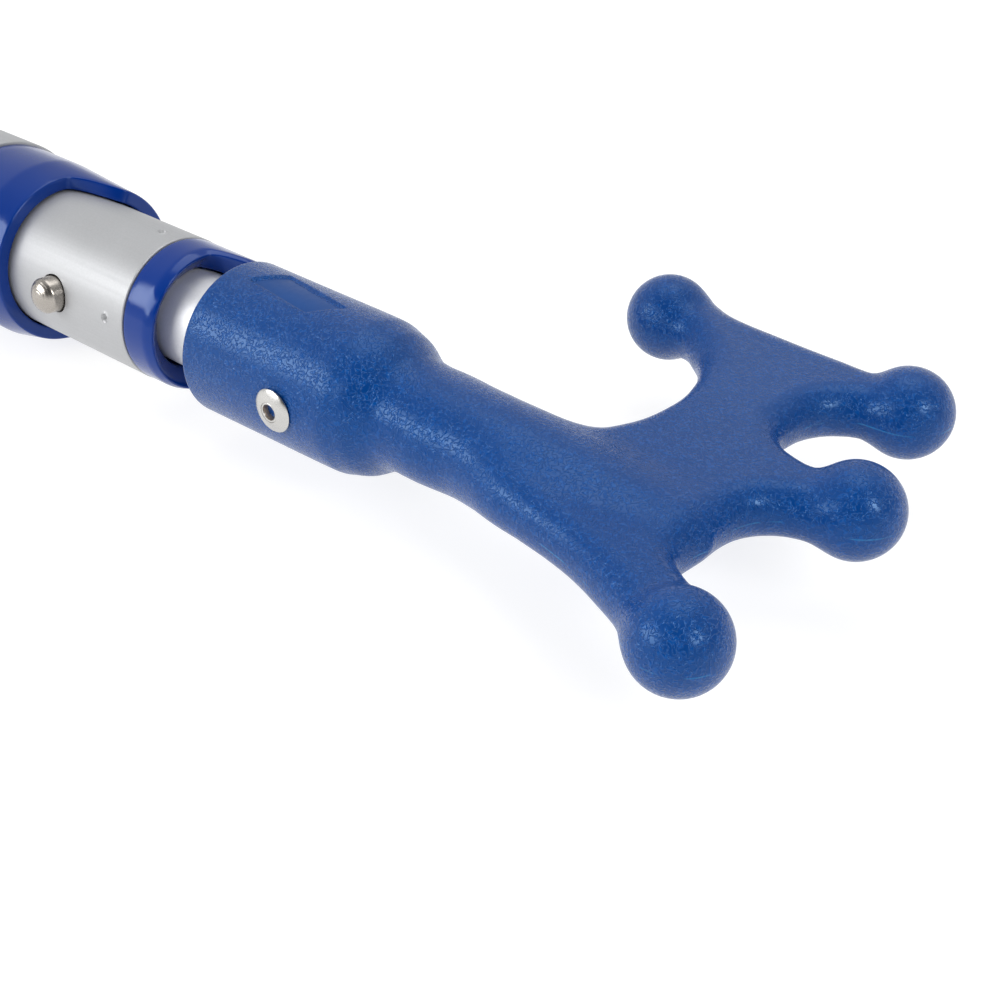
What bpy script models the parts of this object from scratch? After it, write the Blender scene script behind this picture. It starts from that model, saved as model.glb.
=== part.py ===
"""A telescoping boat hook: three tubes that slide in one another, with a moulded four-ball hook head.

The row frame is the closed pole's own: the origin is the centre of the butt's flat end face, +X runs along
the pole to the head, and Z = 0 is the plane in which the head lies flat. Everything is in metres.
"""

import math

import bmesh
import bpy
from mathutils import Matrix, Vector

MM = 0.001
GAP = 0.3 * MM                      # clearance between pieces that touch
ROUND_STEPS = 48                    # sides of a turned piece

# Driving dimensions of the three sections
OUTER_R, OUTER_WALL = 19.05 * MM, 1.4 * MM
MID_R, MID_WALL = 14.3 * MM, 1.2 * MM
INNER_R, INNER_WALL = 9.525 * MM, 1.1 * MM
TRAVEL = 710 * MM                   # slide of each section, and the spacing of its two lock holes
FERRULE_X = 895 * MM                # rear rim of the head's socket when the pole is closed
OUTER_END_X = FERRULE_X - 71.5 * MM
MID_END_X = FERRULE_X - 17.2 * MM
INNER_END_X = FERRULE_X + 32 * MM
OUTER_BORE, MID_BORE, INNER_BORE = OUTER_R - OUTER_WALL, MID_R - MID_WALL, INNER_R - INNER_WALL
OUTER_START_X, MID_START_X, INNER_START_X = 6.3 * MM, 34.3 * MM, 96 * MM
LOCK_ANGLE = math.radians(172)      # the lock holes' direction about the pole, from +Y towards +Z

# Guide collars
OUTER_COLLAR_X = OUTER_END_X + GAP
OUTER_COLLAR_R, OUTER_COLLAR_LENGTH, OUTER_COLLAR_NOSE = 18.55 * MM, 20.3 * MM, 6.6 * MM
MID_COLLAR_X = MID_END_X + GAP
MID_COLLAR_R, MID_COLLAR_LENGTH = 14.15 * MM, 7.6 * MM
OUTER_SPIGOT, MID_SPIGOT = 25 * MM, 13 * MM
OUTER_TONGUE, MID_TONGUE = 10 * MM, 8.5 * MM    # each collar reaches this much further on its far side
TONGUE_EDGE = 3.2 * MM              # the tongue's straight edges lie this far past the pole's axis
TONGUE_R, TONGUE_NOSE_R = 18.3 * MM, 17.1 * MM
SKIN_STEP = 0.02 * MM               # keeps a tongue's surfaces from lying exactly on its collar's
TAIL_LENGTH, TAIL_SPIGOT = 10 * MM, 13 * MM

# Lock buttons
FRONT_LOCK_X, REAR_LOCK_X = FERRULE_X - 37.7 * MM, FERRULE_X - 112 * MM
BUTTON_R, BUTTON_SHOULDER_R, BUTTON_HOLE_R, PASSING_HOLE_R = 3.5 * MM, 4.3 * MM, 3.8 * MM, 4.7 * MM
FRONT_PROUD, REAR_PROUD = 4.0 * MM, 3.2 * MM

# Butt end
CAP_R, CAP_LENGTH, CAP_BASE, CAP_RIVET_X = 20.9 * MM, 24 * MM, 6 * MM, 15 * MM
GRIP_START_X, GRIP_LENGTH, GRIP_R = 24.5 * MM, 150 * MM, 21.6 * MM

# Hook head, measured from the socket's rear rim
SOCKET_DEPTH, SOCKET_R = 34 * MM, INNER_R + GAP
FERRULE_REAR_R, FERRULE_FRONT_R, FERRULE_LENGTH = 14.8 * MM, 14.5 * MM, 34 * MM
RIVET_X, RIVET_HEAD_R, RIVET_BODY_R = 24 * MM, 4.1 * MM, 2.4 * MM
BALL_R = 8.2 * MM
BALLS = {"near": (114.1, -21.5), "front_near": (116.6, 24.1), "front_far": (108.2, 56.8), "far": (56.1, 59.1)}
PALM_HALF = 5.25 * MM               # half the palm's thickness, and the radius of its rounded edge
TIP_R = 0.6                         # half the width of the palm's core where an arm enters its ball, in mm
NECK = [(36.0, 13.9), (38.5, 13.2), (41.0, 11.7), (43.5, 10.1), (47.0, 9.4), (56.0, 8.9), (66.0, 8.4), (76.0, 7.4),
        (86.0, 5.9), (96.0, 3.9)]


def clear_scene():
    for old in list(bpy.data.objects):
        bpy.data.objects.remove(old, do_unlink=True)


def collection(name):
    made = bpy.data.collections.new(name)
    bpy.context.scene.collection.children.link(made)
    return made


def material(name, color, roughness, metallic=0.0):
    made = bpy.data.materials.new(name)
    made.use_nodes = True
    shader = made.node_tree.nodes["Principled BSDF"]
    shader.inputs["Base Color"].default_value = (*color, 1)
    shader.inputs["Roughness"].default_value = roughness
    shader.inputs["Metallic"].default_value = metallic
    return made


clear_scene()
PARTS = collection("telescoping_boat_hook")
CUTTERS = collection("cutters")
BLUE_GRAIN = material("moulded_blue", (0.02, 0.09, 0.38), 0.45)
BLUE_GLOSS = material("glossy_blue", (0.01, 0.06, 0.36), 0.15)
SATIN = material("satin_aluminium", (0.72, 0.73, 0.74), 0.4, 1.0)
STEEL = material("turned_steel", (0.66, 0.62, 0.57), 0.22, 1.0)
SPRING = material("spring_steel", (0.5, 0.5, 0.52), 0.35, 1.0)
BLACK = material("black_plastic", (0.03, 0.03, 0.035), 0.6)
FOAM = material("grip_foam", (0.04, 0.04, 0.045), 0.85)


def as_part(obj, name, look):
    obj.name = obj.data.name = name
    for owner in list(obj.users_collection):
        owner.objects.unlink(obj)
    PARTS.objects.link(obj)
    obj.data.materials.clear()
    obj.data.materials.append(look)
    return obj


def as_cutter(obj, name):
    obj.name = name
    for owner in list(obj.users_collection):
        owner.objects.unlink(obj)
    CUTTERS.objects.link(obj)
    obj.hide_render = True
    obj.display_type = "WIRE"
    return obj


def along(axis):
    """Rotation that lays a piece's own Z along an axis."""
    return Vector(axis).to_track_quat("Z", "Y").to_euler()


def turned(profile, place=(0, 0, 0), axis=(1, 0, 0), steps=ROUND_STEPS, closed=True):
    """A piece turned about its axis. The profile is (position along the axis, radius), going round the section
    with its outer side first, from the axis's far end back to its near end."""
    mesh = bpy.data.meshes.new("turned")
    points = [(r, 0, x) for x, r in profile]
    edges = [(i, i + 1) for i in range(len(points) - 1)]
    if closed:
        edges.append((len(points) - 1, 0))
    mesh.from_pydata(points, edges, [])
    obj = bpy.data.objects.new("turned", mesh)
    bpy.context.scene.collection.objects.link(obj)
    screw = obj.modifiers.new("turn", "SCREW")
    screw.steps = screw.render_steps = steps
    screw.use_merge_vertices = True
    screw.merge_threshold = 0.00001
    screw.use_smooth_shade = False
    obj.location = place
    obj.rotation_euler = along(axis)
    return obj


def cylinder(radius, start, end, sides=32):
    """A plain round bar between two points."""
    start, end = Vector(start), Vector(end)
    mesh = bpy.data.meshes.new("bar")
    bm = bmesh.new()
    bmesh.ops.create_cone(bm, cap_ends=True, segments=sides, radius1=radius, radius2=radius,
                          depth=(end - start).length)
    bm.to_mesh(mesh)
    bm.free()
    obj = bpy.data.objects.new("bar", mesh)
    bpy.context.scene.collection.objects.link(obj)
    obj.location = (start + end) / 2
    obj.rotation_euler = along(end - start)
    return obj


def radial(x, angle, radius):
    """The point at a distance from the pole's axis, in a direction about it from +Y towards +Z."""
    return Vector((x, radius * math.cos(angle), radius * math.sin(angle)))


def boolean(obj, other, operation="DIFFERENCE"):
    step = obj.modifiers.new(operation.lower(), "BOOLEAN")
    step.operation = operation
    step.solver = "EXACT"
    step.object = other
    return obj


def drill(obj, x, angle, radius, inner, outer):
    """Bores a round hole into the pole's wall, from one distance from its axis to another."""
    cutter = cylinder(radius, radial(x, angle, inner), radial(x, angle, outer))
    boolean(obj, as_cutter(cutter, f"hole_{obj.name}_{round(x / MM)}_{round(math.degrees(angle))}"))


def tube(name, start, end, radius, bore):
    return as_part(turned([(end, radius), (start, radius), (start, bore), (end, bore)]), name, SATIN)


def collar(name, x, flange, bore, spigot_r, spigot):
    """A plug-in guide collar: a flange with the given outer profile, and a spigot inside the tube's end."""
    profile = [(x + along_x, r) for along_x, r in flange]
    profile += [(x, spigot_r), (x - spigot, spigot_r), (x - spigot, bore)]
    return as_part(turned(profile), name, BLUE_GLOSS)


def tongue(guide, profile):
    """Adds a half ring in front of a collar, on the side away from the lock buttons."""
    half_ring = turned(profile)
    size = OUTER_R * 4
    bpy.ops.mesh.primitive_cube_add(size=size)
    block = bpy.context.object
    toward_buttons = radial(0, LOCK_ANGLE, 1)
    block.location = Vector((profile[0][0], 0, 0)) + toward_buttons * (size / 2 - TONGUE_EDGE)
    block.rotation_euler = (LOCK_ANGLE, 0, 0)
    boolean(half_ring, as_cutter(block, "tongue_block"), "DIFFERENCE")
    boolean(guide, as_cutter(half_ring, "tongue"), "UNION")


def tail_bush(name, x, slide_r, spigot_r, hole):
    """The plastic bush on a sliding tube's rear end, which keeps it centred in the next tube."""
    rear, front = x - GAP - TAIL_LENGTH, x - GAP
    chamfer = 1.2 * MM
    tip = front + TAIL_SPIGOT
    profile = [(tip, spigot_r), (front, spigot_r), (front, slide_r), (rear + chamfer, slide_r),
               (rear, slide_r - chamfer), (rear, hole), (tip, hole)]
    return as_part(turned(profile), name, BLACK)


def rivet(name, seat, direction, grip):
    """An open-end blind rivet: a domed head with a mandrel hole, and a barrel clinched behind the wall.
    Its seat is the point under the head, and direction points out of the wall."""
    crown, hole, clinch = 1.5 * MM, 1.25 * MM, 0.7 * MM
    profile = [(crown, hole), (crown, hole + 0.7 * MM), (crown * 0.8, RIVET_HEAD_R * 0.62),
               (crown * 0.35, RIVET_HEAD_R * 0.93), (0.15 * MM, RIVET_HEAD_R), (0, RIVET_HEAD_R * 0.97),
               (0, RIVET_BODY_R), (-grip, RIVET_BODY_R), (-grip - clinch * 0.4, RIVET_BODY_R + clinch * 0.6),
               (-grip - clinch * 2, RIVET_BODY_R), (-grip - clinch * 2, hole)]
    return as_part(turned(profile, seat, direction, steps=24), name, STEEL)


def lock_button(name, x, rest_r, proud_r, shoulder_r):
    """A domed lock button on the radial line of its hole. Its local Z points out of the pole, from the axis."""
    neck_r = proud_r - 2.4 * MM
    shoulder = 0.8 * MM
    profile = [(proud_r, 0), (proud_r - 0.15 * MM, 1.2 * MM), (proud_r - 0.8 * MM, 2.3 * MM),
               (proud_r - 1.7 * MM, 3.1 * MM), (neck_r, BUTTON_R), (shoulder_r, BUTTON_R),
               (shoulder_r, BUTTON_SHOULDER_R), (shoulder_r - shoulder, BUTTON_SHOULDER_R),
               (shoulder_r - shoulder, BUTTON_R * 0.7), (rest_r, BUTTON_R * 0.7), (rest_r, 0)]
    outward = radial(0, LOCK_ANGLE, 1)
    return as_part(turned(profile, (x, 0, 0), outward, steps=32, closed=False), name, STEEL)


def strip_clip(name, x, outline, half_width):
    """A spring bent from flat strip: a closed side outline (along the pole, outward) extruded to its width."""
    curve = bpy.data.curves.new(name, "CURVE")
    curve.dimensions = "2D"
    curve.fill_mode = "BOTH"
    curve.extrude = half_width
    spline = curve.splines.new("POLY")
    spline.points.add(len(outline) - 1)
    for point, (u, v) in zip(spline.points, outline):
        point.co = (u, v, 0, 1)
    spline.use_cyclic_u = True
    obj = bpy.data.objects.new(name, curve)
    bpy.context.scene.collection.objects.link(obj)
    out = radial(0, LOCK_ANGLE, 1)
    side = Vector((1, 0, 0)).cross(out)
    frame = Matrix((Vector((1, 0, 0)), out, side)).transposed().to_4x4()
    obj.matrix_world = Matrix.Translation((x, 0, 0)) @ frame
    return as_part(obj, name, SPRING)


def offset_strip(centre_line, thickness):
    """The closed outline of a strip of this thickness along a centre line of (along, outward) points."""
    upper, lower = [], []
    for i, point in enumerate(centre_line):
        before = Vector(centre_line[max(i - 1, 0)])
        after = Vector(centre_line[min(i + 1, len(centre_line) - 1)])
        run = (after - before).normalized()
        normal = Vector((-run.y, run.x)) * thickness / 2
        upper.append(tuple(Vector(point) + normal))
        lower.append(tuple(Vector(point) - normal))
    return upper + lower[::-1]


def v_spring(name, x):
    """The V spring in the inner tube's bore: two legs joined by a round bend behind the lock hole."""
    reach, length, bend_steps = INNER_BORE - 1.5 * MM, 30 * MM, 8
    bend_r = reach * 0.55
    line = [(6 * MM, reach)]
    line += [(-length + bend_r * math.cos(a), bend_r * math.sin(a))
             for a in [math.pi / 2 + math.pi * k / bend_steps for k in range(bend_steps + 1)]]
    line.append((6 * MM, -reach))
    return strip_clip(name, x, offset_strip(line, 0.6 * MM), 3 * MM)


def leaf_spring(name, x):
    """The bowed leaf spring that lies between the inner tube and the middle tube's wall."""
    half, steps = 11 * MM, 10
    low, high = INNER_R + 1.0 * MM, MID_BORE - 1.1 * MM
    line = [(half * (2 * k / steps - 1), low + (high - low) * (1 - (2 * k / steps - 1) ** 2))
            for k in range(steps + 1)]
    return strip_clip(name, x, offset_strip(line, 0.4 * MM), 2.4 * MM)


def ball_centre(which):
    x, y = BALLS[which]
    return Vector((FERRULE_X + x * MM, y * MM, 0))


def palm_core():
    """The palm's flat core: a 2D curve, and its rounded edge is the curve's bevel. An arm's core narrows to
    a small round tip at its ball's centre. Coordinates are in mm from the socket's rear rim."""
    def tip(which, heading):
        cx, cy = BALLS[which]
        run = Vector((math.cos(math.radians(heading)), math.sin(math.radians(heading))))
        side = Vector((-run.y, run.x)) * TIP_R
        centre = Vector((cx, cy))
        return [tuple(centre - side), tuple(centre + run * TIP_R), tuple(centre + side)]

    outline = [(48, -3.6), (60, -3.8), (66, -5.8), (72, -8.1), (79, -9.4), (86, -10.7), (93, -12.6), (100, -15.4),
               (105, -17.7)]
    outline += tip("near", -34)
    outline += [(105.4, -15.3), (100.2, -11.0), (98.7, -4), (99.3, 5), (101.2, 12.2), (106, 17.7)]
    outline += tip("front_near", 28)
    outline += [(109.5, 21.8), (102.6, 22.4), (96.4, 25.6), (92.2, 31.5), (91.7, 37.8), (94.0, 46.2), (99.6, 51.9)]
    outline += tip("front_far", 25)
    outline += [(101.8, 55.2), (93, 55.1), (81, 55.6), (69, 56.7)]
    outline += tip("far", 173)
    outline += [(66, 56.2), (71, 53.0), (77.5, 46.5), (82, 35.8), (82.6, 24.5), (79.6, 14), (73.5, 6.6),
                (65.5, 4.1), (56, 3.6), (48, 3.6)]
    curve = bpy.data.curves.new("palm_core", "CURVE")
    curve.dimensions = "2D"
    curve.fill_mode = "BOTH"
    curve.extrude = 0.05 * MM
    curve.bevel_depth = PALM_HALF - curve.extrude
    curve.bevel_resolution = 3
    curve.resolution_u = 4
    spline = curve.splines.new("BEZIER")
    spline.bezier_points.add(len(outline) - 1)
    for point, (x, y) in zip(spline.bezier_points, outline):
        point.co = (FERRULE_X + x * MM, y * MM, 0)
        point.handle_left_type = point.handle_right_type = "AUTO"
    spline.use_cyclic_u = True
    obj = bpy.data.objects.new("palm_core", curve)
    bpy.context.scene.collection.objects.link(obj)
    return as_mesh(obj)


def as_mesh(curve_obj):
    """The same shape as a welded mesh, which a Boolean can use."""
    bpy.context.view_layer.update()
    evaluated = curve_obj.evaluated_get(bpy.context.evaluated_depsgraph_get())
    mesh = bpy.data.meshes.new_from_object(evaluated)
    bm = bmesh.new()
    bm.from_mesh(mesh)
    bmesh.ops.remove_doubles(bm, verts=bm.verts, dist=0.00001)
    bmesh.ops.recalc_face_normals(bm, faces=bm.faces)
    bm.to_mesh(mesh)
    bm.free()
    obj = bpy.data.objects.new(curve_obj.name, mesh)
    bpy.context.scene.collection.objects.link(obj)
    obj.matrix_world = curve_obj.matrix_world
    bpy.data.objects.remove(curve_obj)
    return obj


def hook_head():
    """The moulded head: socket, neck, flat palm and four ball-tipped arms, as one solid."""
    profile = [(x * MM, r * MM) for x, r in reversed(NECK)]
    profile += [(FERRULE_LENGTH, FERRULE_FRONT_R), (0.6 * MM, FERRULE_REAR_R), (0, FERRULE_REAR_R - 0.5 * MM)]
    profile = [(NECK[-1][0] * MM, 0)] + profile + [(0, SOCKET_R), (SOCKET_DEPTH, SOCKET_R), (SOCKET_DEPTH, 0)]
    head = turned(profile, (FERRULE_X, 0, 0), closed=False)
    as_part(head, "hook_head", BLUE_GRAIN)
    boolean(head, as_cutter(palm_core(), "palm"), "UNION")
    for which in BALLS:
        mesh = bpy.data.meshes.new("ball")
        bm = bmesh.new()
        bmesh.ops.create_uvsphere(bm, u_segments=28, v_segments=15, radius=BALL_R)
        bm.to_mesh(mesh)
        bm.free()
        ball = bpy.data.objects.new("ball", mesh)
        bpy.context.scene.collection.objects.link(ball)
        ball.location = ball_centre(which)
        boolean(head, as_cutter(ball, f"ball_{which}"), "UNION")
    for side in (0, math.pi):
        drill(head, FERRULE_X + RIVET_X, side, RIVET_BODY_R + GAP, SOCKET_R / 2, FERRULE_REAR_R + 5 * MM)
    return head


# Outer section
outer_tube = tube("outer_tube", OUTER_START_X, OUTER_END_X, OUTER_R, OUTER_BORE)
drill(outer_tube, REAR_LOCK_X, LOCK_ANGLE, BUTTON_HOLE_R, OUTER_BORE / 2, OUTER_R * 1.5)
nose_x = OUTER_COLLAR_LENGTH - OUTER_COLLAR_NOSE
outer_collar = collar("outer_collar", OUTER_COLLAR_X,
       [(OUTER_COLLAR_LENGTH, MID_R + GAP), (OUTER_COLLAR_LENGTH, 16.4 * MM),
        (OUTER_COLLAR_LENGTH - 0.8 * MM, 17.1 * MM), (nose_x + 1 * MM, OUTER_COLLAR_R - 0.1 * MM),
        (nose_x, OUTER_COLLAR_R), (0, OUTER_COLLAR_R)],
       MID_R + GAP, OUTER_BORE - GAP, OUTER_SPIGOT)
tip_x = OUTER_COLLAR_X + OUTER_COLLAR_LENGTH + OUTER_TONGUE
root_x = OUTER_COLLAR_X + nose_x + SKIN_STEP
tongue(outer_collar, [(root_x, MID_R + GAP + SKIN_STEP), (tip_x, MID_R + GAP + SKIN_STEP), (tip_x, 16.4 * MM),
                      (tip_x - 0.8 * MM, TONGUE_NOSE_R), (root_x, TONGUE_R)])
cap = turned([(CAP_LENGTH, CAP_R - 0.6 * MM), (CAP_LENGTH - 1 * MM, CAP_R), (2.5 * MM, CAP_R),
              (0.7 * MM, CAP_R - 0.8 * MM), (0, CAP_R - 2.5 * MM), (0, 0), (CAP_BASE, 0),
              (CAP_BASE, OUTER_R + GAP), (CAP_LENGTH, OUTER_R + GAP)], closed=True)
as_part(cap, "end_cap", BLACK)
grip_profile = [(GRIP_START_X + GRIP_LENGTH, OUTER_R + GAP),
                (GRIP_START_X + GRIP_LENGTH, GRIP_R - 1.5 * MM)]
grip_profile += [(GRIP_START_X + GRIP_LENGTH - 1.5 * MM, GRIP_R), (GRIP_START_X + 1.5 * MM, GRIP_R)]
grip_profile += [(GRIP_START_X, GRIP_R - 1.5 * MM), (GRIP_START_X, OUTER_R + GAP)]
as_part(turned(grip_profile), "outer_grip", FOAM)
for side_name, side in (("left", 0.0), ("right", math.pi)):
    seat = radial(CAP_RIVET_X, side, CAP_R + GAP)
    rivet(f"end_cap_rivet_{side_name}", seat, radial(0, side, 1), CAP_R - OUTER_BORE + 2 * GAP)
    drill(cap, CAP_RIVET_X, side, RIVET_BODY_R + GAP, OUTER_BORE, CAP_R * 1.2)
    drill(outer_tube, CAP_RIVET_X, side, RIVET_BODY_R + GAP, OUTER_BORE / 2, CAP_R * 1.2)
lock_button("rear_lock_button", REAR_LOCK_X, MID_R + 0.35 * MM, OUTER_R + REAR_PROUD, OUTER_BORE - 0.75 * MM)

# Middle section
mid_tube = tube("mid_tube", MID_START_X, MID_END_X, MID_R, MID_BORE)
drill(mid_tube, FRONT_LOCK_X, LOCK_ANGLE, BUTTON_HOLE_R, MID_BORE / 2, MID_R * 1.5)
for x in (REAR_LOCK_X, REAR_LOCK_X - TRAVEL):
    drill(mid_tube, x, LOCK_ANGLE, PASSING_HOLE_R, MID_BORE / 2, MID_R * 1.5)
mouth_r = INNER_R + 0.5 * MM
mid_collar = collar("mid_collar", MID_COLLAR_X,
       [(MID_COLLAR_LENGTH - 2.9 * MM, mouth_r), (MID_COLLAR_LENGTH - 0.3 * MM, 12.8 * MM),
        (MID_COLLAR_LENGTH, 13.3 * MM), (MID_COLLAR_LENGTH - 0.4 * MM, 13.75 * MM),
        (MID_COLLAR_LENGTH - 1.4 * MM, MID_COLLAR_R - 0.1 * MM), (0, MID_COLLAR_R)],
       mouth_r, MID_BORE - GAP, MID_SPIGOT)
tip_x, root_x = MID_COLLAR_X + MID_COLLAR_LENGTH + MID_TONGUE, MID_COLLAR_X + 3.5 * MM
tongue(mid_collar, [(root_x, mouth_r + SKIN_STEP), (tip_x - 2.9 * MM, mouth_r + SKIN_STEP),
                    (tip_x - 0.3 * MM, 12.8 * MM), (tip_x, 13.3 * MM), (tip_x - 0.4 * MM, 13.75 * MM),
                    (tip_x - 1.4 * MM, MID_COLLAR_R - 0.1 * MM), (root_x, MID_COLLAR_R - SKIN_STEP)])
tail_bush("mid_tail_bush", MID_START_X, OUTER_BORE - GAP, MID_BORE - GAP, INNER_R + 0.7 * MM)
leaf_spring("mid_front_spring", REAR_LOCK_X)
leaf_spring("mid_rear_spring", REAR_LOCK_X - TRAVEL)
lock_button("front_lock_button", FRONT_LOCK_X, INNER_R + 0.35 * MM, MID_R + FRONT_PROUD, MID_BORE - 1.0 * MM)

# Inner section, with the head
inner_tube = tube("inner_tube", INNER_START_X, INNER_END_X, INNER_R, INNER_BORE)
for x in (FRONT_LOCK_X, FRONT_LOCK_X - TRAVEL):
    drill(inner_tube, x, LOCK_ANGLE, PASSING_HOLE_R, INNER_BORE / 2, INNER_R * 1.5)
tail_bush("inner_tail_bush", INNER_START_X, MID_BORE - GAP, INNER_BORE - GAP, 5 * MM)
v_spring("inner_front_spring", FRONT_LOCK_X)
v_spring("inner_rear_spring", FRONT_LOCK_X - TRAVEL)
hook_head()
for side_name, side in (("left", 0.0), ("right", math.pi)):
    drill(inner_tube, FERRULE_X + RIVET_X, side, RIVET_BODY_R + GAP, INNER_BORE / 2, INNER_R * 1.5)
    seat = radial(FERRULE_X + RIVET_X, side, FERRULE_REAR_R)
    rivet(f"head_rivet_{side_name}", seat, radial(0, side, 1), FERRULE_REAR_R - INNER_BORE + 2 * GAP)
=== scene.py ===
"""Looks of a telescoping boat hook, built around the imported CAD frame.

Lengths are in mm until they become a mesh. Angles round the pole are from +Y towards +Z.
"""
import math

import bpy
import numpy as np
from mathutils import Matrix, Vector


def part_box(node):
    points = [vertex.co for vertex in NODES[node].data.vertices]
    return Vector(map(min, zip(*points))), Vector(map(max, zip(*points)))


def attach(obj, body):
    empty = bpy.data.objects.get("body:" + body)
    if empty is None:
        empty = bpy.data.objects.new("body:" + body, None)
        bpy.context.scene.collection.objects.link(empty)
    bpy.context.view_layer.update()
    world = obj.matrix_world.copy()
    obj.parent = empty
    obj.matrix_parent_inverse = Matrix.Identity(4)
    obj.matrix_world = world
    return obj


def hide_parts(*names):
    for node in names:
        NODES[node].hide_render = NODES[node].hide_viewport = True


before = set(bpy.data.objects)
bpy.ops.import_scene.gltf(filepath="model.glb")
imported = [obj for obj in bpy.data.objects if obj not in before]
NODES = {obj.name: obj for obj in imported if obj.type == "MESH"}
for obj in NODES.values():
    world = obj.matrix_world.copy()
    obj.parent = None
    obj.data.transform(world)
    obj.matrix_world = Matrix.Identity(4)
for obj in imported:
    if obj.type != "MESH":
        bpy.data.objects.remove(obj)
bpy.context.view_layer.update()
MM = 0.001


# ---------------------------------------------------------------- places taken from the frame (mm)
def span(node):
    """A node's lowest and highest corner in mm."""
    low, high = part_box(node)
    return np.array(low) / MM, np.array(high) / MM


def start_x(node):
    return span(node)[0][0]


def end_x(node):
    return span(node)[1][0]


def half_width(node):
    low, high = span(node)
    return (high[2] - low[2]) / 2


FERRULE_X = start_x("hook_head")            # rear rim of the head's socket
OUTER_R, MID_R, INNER_R = half_width("outer_tube"), half_width("mid_tube"), half_width("inner_tube")
OUTER_WALL, MID_WALL, INNER_WALL = 1.4, 1.2, 1.1
OUTER_END, MID_END = end_x("outer_tube"), end_x("mid_tube")
GAP = 0.3
LOCK_ANGLE = math.radians(172)              # where the lock buttons stand round the pole
FRONT_LOCK_X = FERRULE_X - 37.7
REAR_LOCK_X = FERRULE_X - 112.0
BUTTON_R, BUTTON_HOLE_R, FOOT_HOLE_R = 3.5, 3.8, 4.7
SOCKET_R = 14.6
RIVET_X, RIVET_HEAD_R = FERRULE_X + 24, 4.1
CAP_RIVET_X = 15.0


# ---------------------------------------------------------------- mesh helpers
def soften(obj, sharp_angle=35):
    """Smooth shading, with edges over sharp_angle (degrees) kept sharp."""
    for other in bpy.context.selected_objects:
        other.select_set(False)
    obj.select_set(True)
    bpy.context.view_layer.objects.active = obj
    bpy.ops.object.shade_smooth_by_angle(angle=math.radians(sharp_angle))


def new_object(name, verts, faces, sharp_angle=None):
    """A smooth-shaded object of vertices in mm."""
    mesh = bpy.data.meshes.new(name)
    mesh.from_pydata([tuple(v) for v in np.asarray(verts) * MM], [],
                     [tuple(int(i) for i in f) for f in faces])
    mesh.update()
    obj = bpy.data.objects.new(name, mesh)
    bpy.context.scene.collection.objects.link(obj)
    mesh.polygons.foreach_set("use_smooth", [True] * len(mesh.polygons))
    if sharp_angle is not None:
        soften(obj, sharp_angle)
    return obj


def arc(centre, radius, start, end, steps=6):
    """Points of an arc in a profile: (x, r) pairs, angles in degrees from +x towards +r."""
    angles = np.radians(np.linspace(start, end, steps + 1))
    return [(centre[0] + radius * math.cos(a), centre[1] + radius * math.sin(a)) for a in angles]


def lathe_grid(profile, steps, shape=None):
    """Vertices and faces of a profile of (x, r) turned about X.

    shape(x, r, angle) says how far each point's radius moves.
    """
    P = np.array(profile, float)
    angles = np.arange(steps) * 2 * math.pi / steps
    x = np.repeat(P[:, 0][:, None], steps, 1)
    r = np.repeat(P[:, 1][:, None], steps, 1)
    a = np.repeat(angles[None, :], len(P), 0)
    if shape is not None:
        r = r + shape(x, r, a)
    verts = np.stack([x, r * np.cos(a), r * np.sin(a)], -1).reshape(-1, 3)
    i, j = np.meshgrid(np.arange(len(P) - 1), np.arange(steps), indexing="ij")
    k = (j + 1) % steps
    corners = [i * steps + j, i * steps + k, (i + 1) * steps + k, (i + 1) * steps + j]
    return verts, np.stack(corners, -1).reshape(-1, 4)


def closed_lathe(name, profile, steps=160, shape=None, sharp_angle=35):
    """A ring-like solid: the profile is a closed loop of (x, r)."""
    verts, faces = lathe_grid(list(profile) + [profile[0]], steps, shape)
    n = len(profile) * steps
    faces = np.where(faces >= n, faces - n, faces)
    return new_object(name, verts[:n], faces, sharp_angle=sharp_angle)


def solid_lathe(name, profile, steps=64, sharp_angle=35):
    """A solid of an open profile whose ends are on the axis, turned about X."""
    body = [p for p in profile if p[1] > 1e-6]
    verts, faces = lathe_grid(body, steps)
    verts = list(map(tuple, verts)) + [(profile[0][0], 0, 0), (profile[-1][0], 0, 0)]
    faces = [tuple(f) for f in faces]
    first, last = len(verts) - 2, len(verts) - 1
    top = (len(body) - 1) * steps
    for j in range(steps):
        k = (j + 1) % steps
        faces.append((first, k, j))
        faces.append((last, top + j, top + k))
    return new_object(name, verts, faces, sharp_angle=sharp_angle)


def stand_radially(obj, x, angle, radius):
    """Moves a piece turned about X, with its base at x=0, to stand on the pole at x, angle and radius."""
    out = Vector((0, math.cos(angle), math.sin(angle)))
    side = out.cross(Vector((1, 0, 0)))
    turn = Matrix((out, Vector((1, 0, 0)), side)).transposed().to_4x4()
    place = Matrix.Translation(Vector((x, out.y * radius, out.z * radius)) * MM)
    obj.data.transform(place @ turn)
    if (place @ turn).determinant() < 0:
        obj.data.flip_normals()


def smooth_step(t):
    t = np.clip(t, 0, 1)
    return t * t * (3 - 2 * t)


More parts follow.
